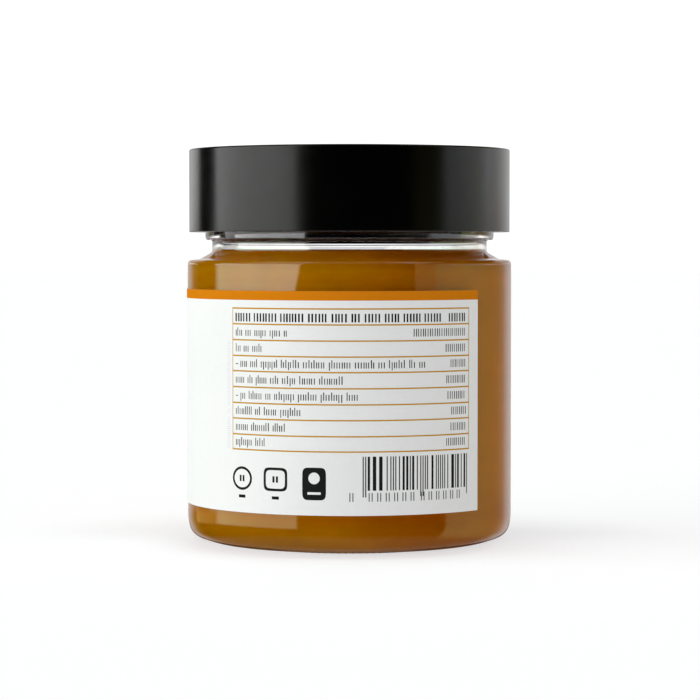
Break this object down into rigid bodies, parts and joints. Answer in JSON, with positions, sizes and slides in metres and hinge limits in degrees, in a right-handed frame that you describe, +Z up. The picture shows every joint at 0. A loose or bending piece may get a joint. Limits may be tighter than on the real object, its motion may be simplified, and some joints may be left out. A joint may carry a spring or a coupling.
{
  "type": "jar of mango chutney",
  "caption": "Round clear glass jar of mango chutney with a deep black twist-off cap and a wrap-round white paper label with an orange band.",
  "frame": {"origin": "on the surface the jar stands on, under the jar's own axis", "axes": "+Z up along the jar's axis; -Y towards the shown face of the label; the gap between the label's two ends is on the +X side"},
  "size_m": [0.0703, 0.0704, 0.0851],
  "materials": {
    "glass": "clear flint glass, smooth, with a stippled standing ring",
    "chutney": "food: smooth amber-brown mango chutney, thick fruit pulp in syrup, pressed against the glass all round, with no separate pieces to be seen",
    "black_lacquer": "gloss black lacquer on tinplate",
    "label_paper": "coated white paper, satin, with an orange band and a plain printed table of orange rules and dark bars"
  },
  "bodies": {
    "root": {"glass_jar": "glass", "chutney": "chutney", "cap": "black_lacquer", "label": "label_paper"}
  },
  "joints": []
}
